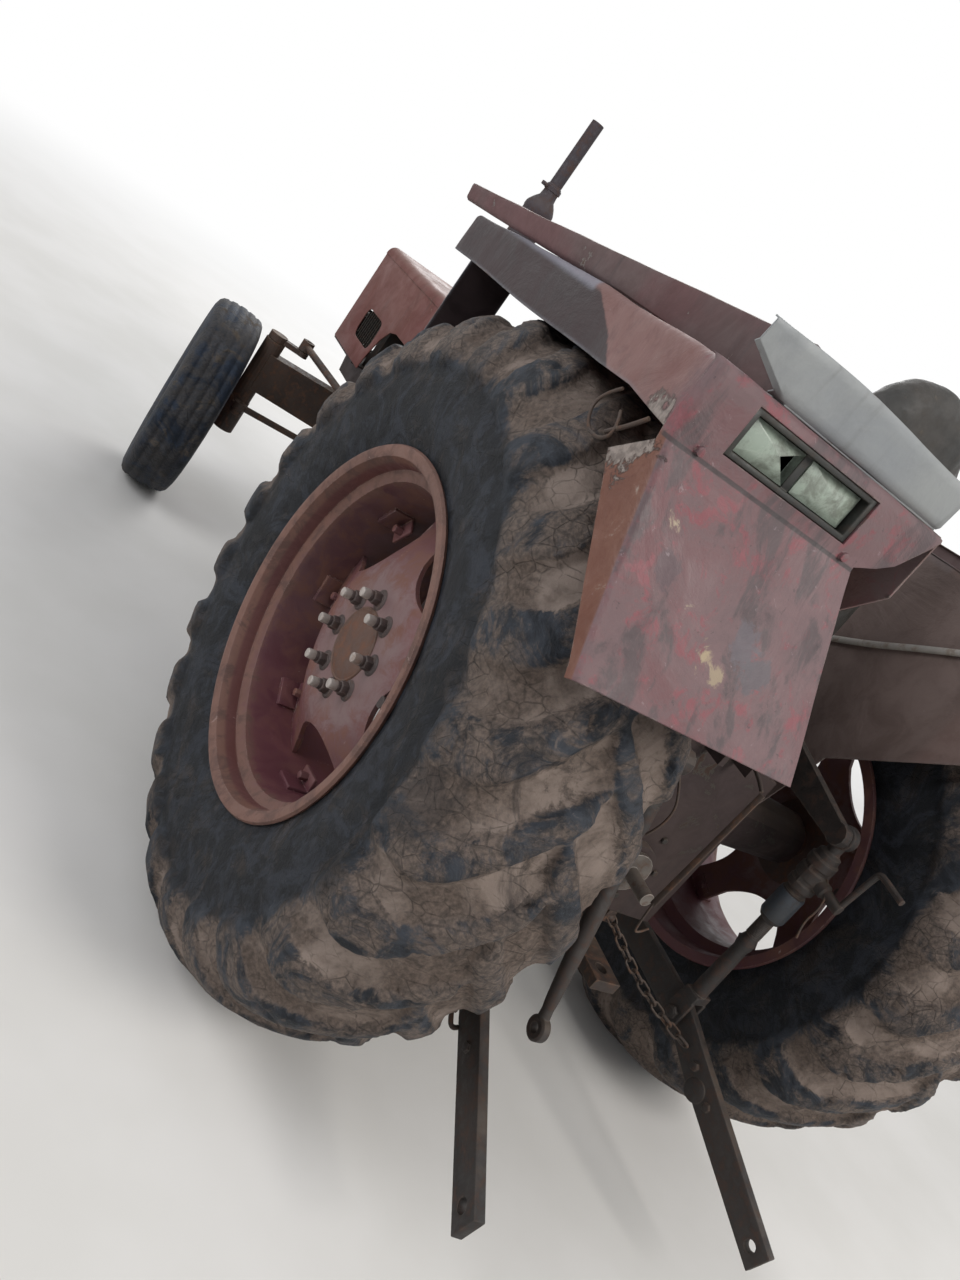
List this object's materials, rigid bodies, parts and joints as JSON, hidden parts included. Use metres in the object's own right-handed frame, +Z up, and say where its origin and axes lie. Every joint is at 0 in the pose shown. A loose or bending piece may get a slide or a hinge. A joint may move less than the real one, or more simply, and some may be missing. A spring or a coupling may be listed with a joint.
{
  "type": "farm tractor",
  "caption": "Worn two-wheel-drive farm tractor with lugged rear tyres, folded sheet fenders, a high seat and a three-point linkage.",
  "frame": {"origin": "on the ground in the middle plane, midway between the nose and the ends of the lower links", "axes": "+Z up, the nose towards -Y, the driver's left towards +X"},
  "size_m": [1.9, 3.6616, 2.08],
  "materials": {
    "tyre_rubber": "worn",
    "wheel_paint": "rusty",
    "rusty_iron": "rusty",
    "casting_paint": "weathered",
    "exhaust_iron": "rusty",
    "dark_iron": "weathered",
    "bare_steel": "worn",
    "linkage_iron": "rusty",
    "hood_paint": "faded",
    "dash_paint": "faded",
    "black_plastic": "worn",
    "fender_paint": "faded",
    "lamp_lens": "cloudy",
    "cover_sheet": "weathered",
    "seat_cover": "worn"
  },
  "bodies": {
    "chassis": {"cooling_fan": "dark_iron", "cylinder_head": "casting_paint", "dash": "dash_paint", "drawbar": "rusty_iron", "engine_block": "casting_paint", "exhaust": "exhaust_iron", "fender_covers": "cover_sheet", "fender_left": "fender_paint", "fender_right": "fender_paint", "fender_stays": "fender_paint", "front_axle": "rusty_iron", "front_bolster": "casting_paint", "fuel_tank": "dark_iron", "gearbox_housing": "casting_paint", "grille": "dark_iron", "headlamps": "dark_iron", "hood": "hood_paint", "lift_cover": "casting_paint", "pto_shaft": "bare_steel", "radiator": "dark_iron", "rear_housing": "casting_paint", "seat": "seat_cover", "seat_base": "dark_iron", "side_panels": "hood_paint", "steering_column": "dark_iron", "steering_wheel": "black_plastic", "steps": "rusty_iron", "tail_lamps": "lamp_lens"},
    "lift_arms": {"lift_arms": "linkage_iron"},
    "lift_rod_right": {"lift_rod_right": "linkage_iron"},
    "lift_rod_left": {"lift_rod_left": "linkage_iron"},
    "lower_link_left": {"lower_link_left": "linkage_iron"},
    "lower_link_right": {"lower_link_right": "linkage_iron"},
    "rear_wheel_left": {"rear_tyre_left": "tyre_rubber", "rear_rim_left": "wheel_paint"},
    "rear_wheel_right": {"rear_tyre_right": "tyre_rubber", "rear_rim_right": "wheel_paint"},
    "front_wheel_left": {"front_tyre_left": "tyre_rubber", "front_rim_left": "wheel_paint"},
    "front_wheel_right": {"front_tyre_right": "tyre_rubber", "front_rim_right": "wheel_paint"},
    "knuckle_left": {"knuckle_left": "rusty_iron"},
    "knuckle_right": {"knuckle_right": "rusty_iron"},
    "tie_rod": {"tie_rod": "rusty_iron"},
    "drag_link": {"drag_link": "rusty_iron"},
    "drop_arm": {"drop_arm": "rusty_iron"}
  },
  "joints": [
    {"name": "rear_left_spin", "type": "hinge", "parent": "chassis", "child": "rear_wheel_left", "pos_m": [0.69, 0.91917, 0.76], "axis": [1, 0, 0], "continuous": true},
    {"name": "rear_right_spin", "type": "hinge", "parent": "chassis", "child": "rear_wheel_right", "pos_m": [-0.69, 0.91917, 0.76], "axis": [1, 0, 0], "continuous": true},
    {"name": "steer_left", "type": "hinge", "parent": "chassis", "child": "knuckle_left", "pos_m": [0.562, -1.37083, 0.6], "axis": [0, 0, 1], "range_deg": [-33, 57]},
    {"name": "steer_right", "type": "hinge", "parent": "chassis", "child": "knuckle_right", "pos_m": [-0.562, -1.37083, 0.6], "axis": [0, 0, 1], "range_deg": [-33, 57]},
    {"name": "front_left_spin", "type": "hinge", "parent": "knuckle_left", "child": "front_wheel_left", "pos_m": [0.71655, -1.40368, 0.4], "axis": [0.9781, -0.2079, 0], "continuous": true},
    {"name": "front_right_spin", "type": "hinge", "parent": "knuckle_right", "child": "front_wheel_right", "pos_m": [-0.71655, -1.33798, 0.4], "axis": [0.9781, -0.2079, 0], "continuous": true},
    {"name": "tie_rod_turn", "type": "hinge", "parent": "knuckle_left", "child": "tie_rod", "pos_m": [0.59111, -1.23389, 0.503], "axis": [0, 0, 1], "range_deg": [-57, 33]},
    {"name": "drag_link_turn", "type": "hinge", "parent": "knuckle_left", "child": "drag_link", "pos_m": [0.45636, -1.34838, 0.813], "axis": [0, 0, 1], "range_deg": [-57, 33]},
    {"name": "drop_arm_swing", "type": "hinge", "parent": "chassis", "child": "drop_arm", "pos_m": [0.32, -0.33083, 0.91864], "axis": [1, 0, 0], "range_deg": [-57, 33]},
    {"name": "lift", "type": "hinge", "parent": "chassis", "child": "lift_arms", "pos_m": [0, 1.01917, 1.04], "axis": [1, 0, 0], "range_deg": [0, 50]},
    {"name": "lower_link_right_lift", "type": "hinge", "parent": "chassis", "child": "lower_link_right", "pos_m": [-0.25, 0.83917, 0.45], "axis": [1, 0, 0], "range_deg": [0, 31]},
    {"name": "lift_rod_right_swing", "type": "hinge", "parent": "lift_arms", "child": "lift_rod_right", "pos_m": [-0.305, 1.31852, 1.00006], "axis": [1, 0, 0], "range_deg": [-48, 0]},
    {"name": "lift_rod_left_swing", "type": "hinge", "parent": "lift_arms", "child": "lift_rod_left", "pos_m": [0.305, 1.31852, 1.00006], "axis": [1, 0, 0], "range_deg": [-20, 20]},
    {"name": "lower_link_left_lift", "type": "hinge", "parent": "chassis", "child": "lower_link_left", "pos_m": [0.25, 0.83917, 0.45], "axis": [1, 0, 0], "range_deg": [-10, 35]}
  ],
  "couplings": [
    {"joint": "steer_right", "follows": "steer_left", "ratio": 1},
    {"joint": "tie_rod_turn", "follows": "steer_left", "ratio": -1},
    {"joint": "drag_link_turn", "follows": "steer_left", "ratio": -1},
    {"joint": "drop_arm_swing", "follows": "steer_left", "ratio": -1},
    {"joint": "lower_link_right_lift", "follows": "lift", "ratio": 0.61},
    {"joint": "lift_rod_right_swing", "follows": "lift", "ratio": -0.94}
  ]
}
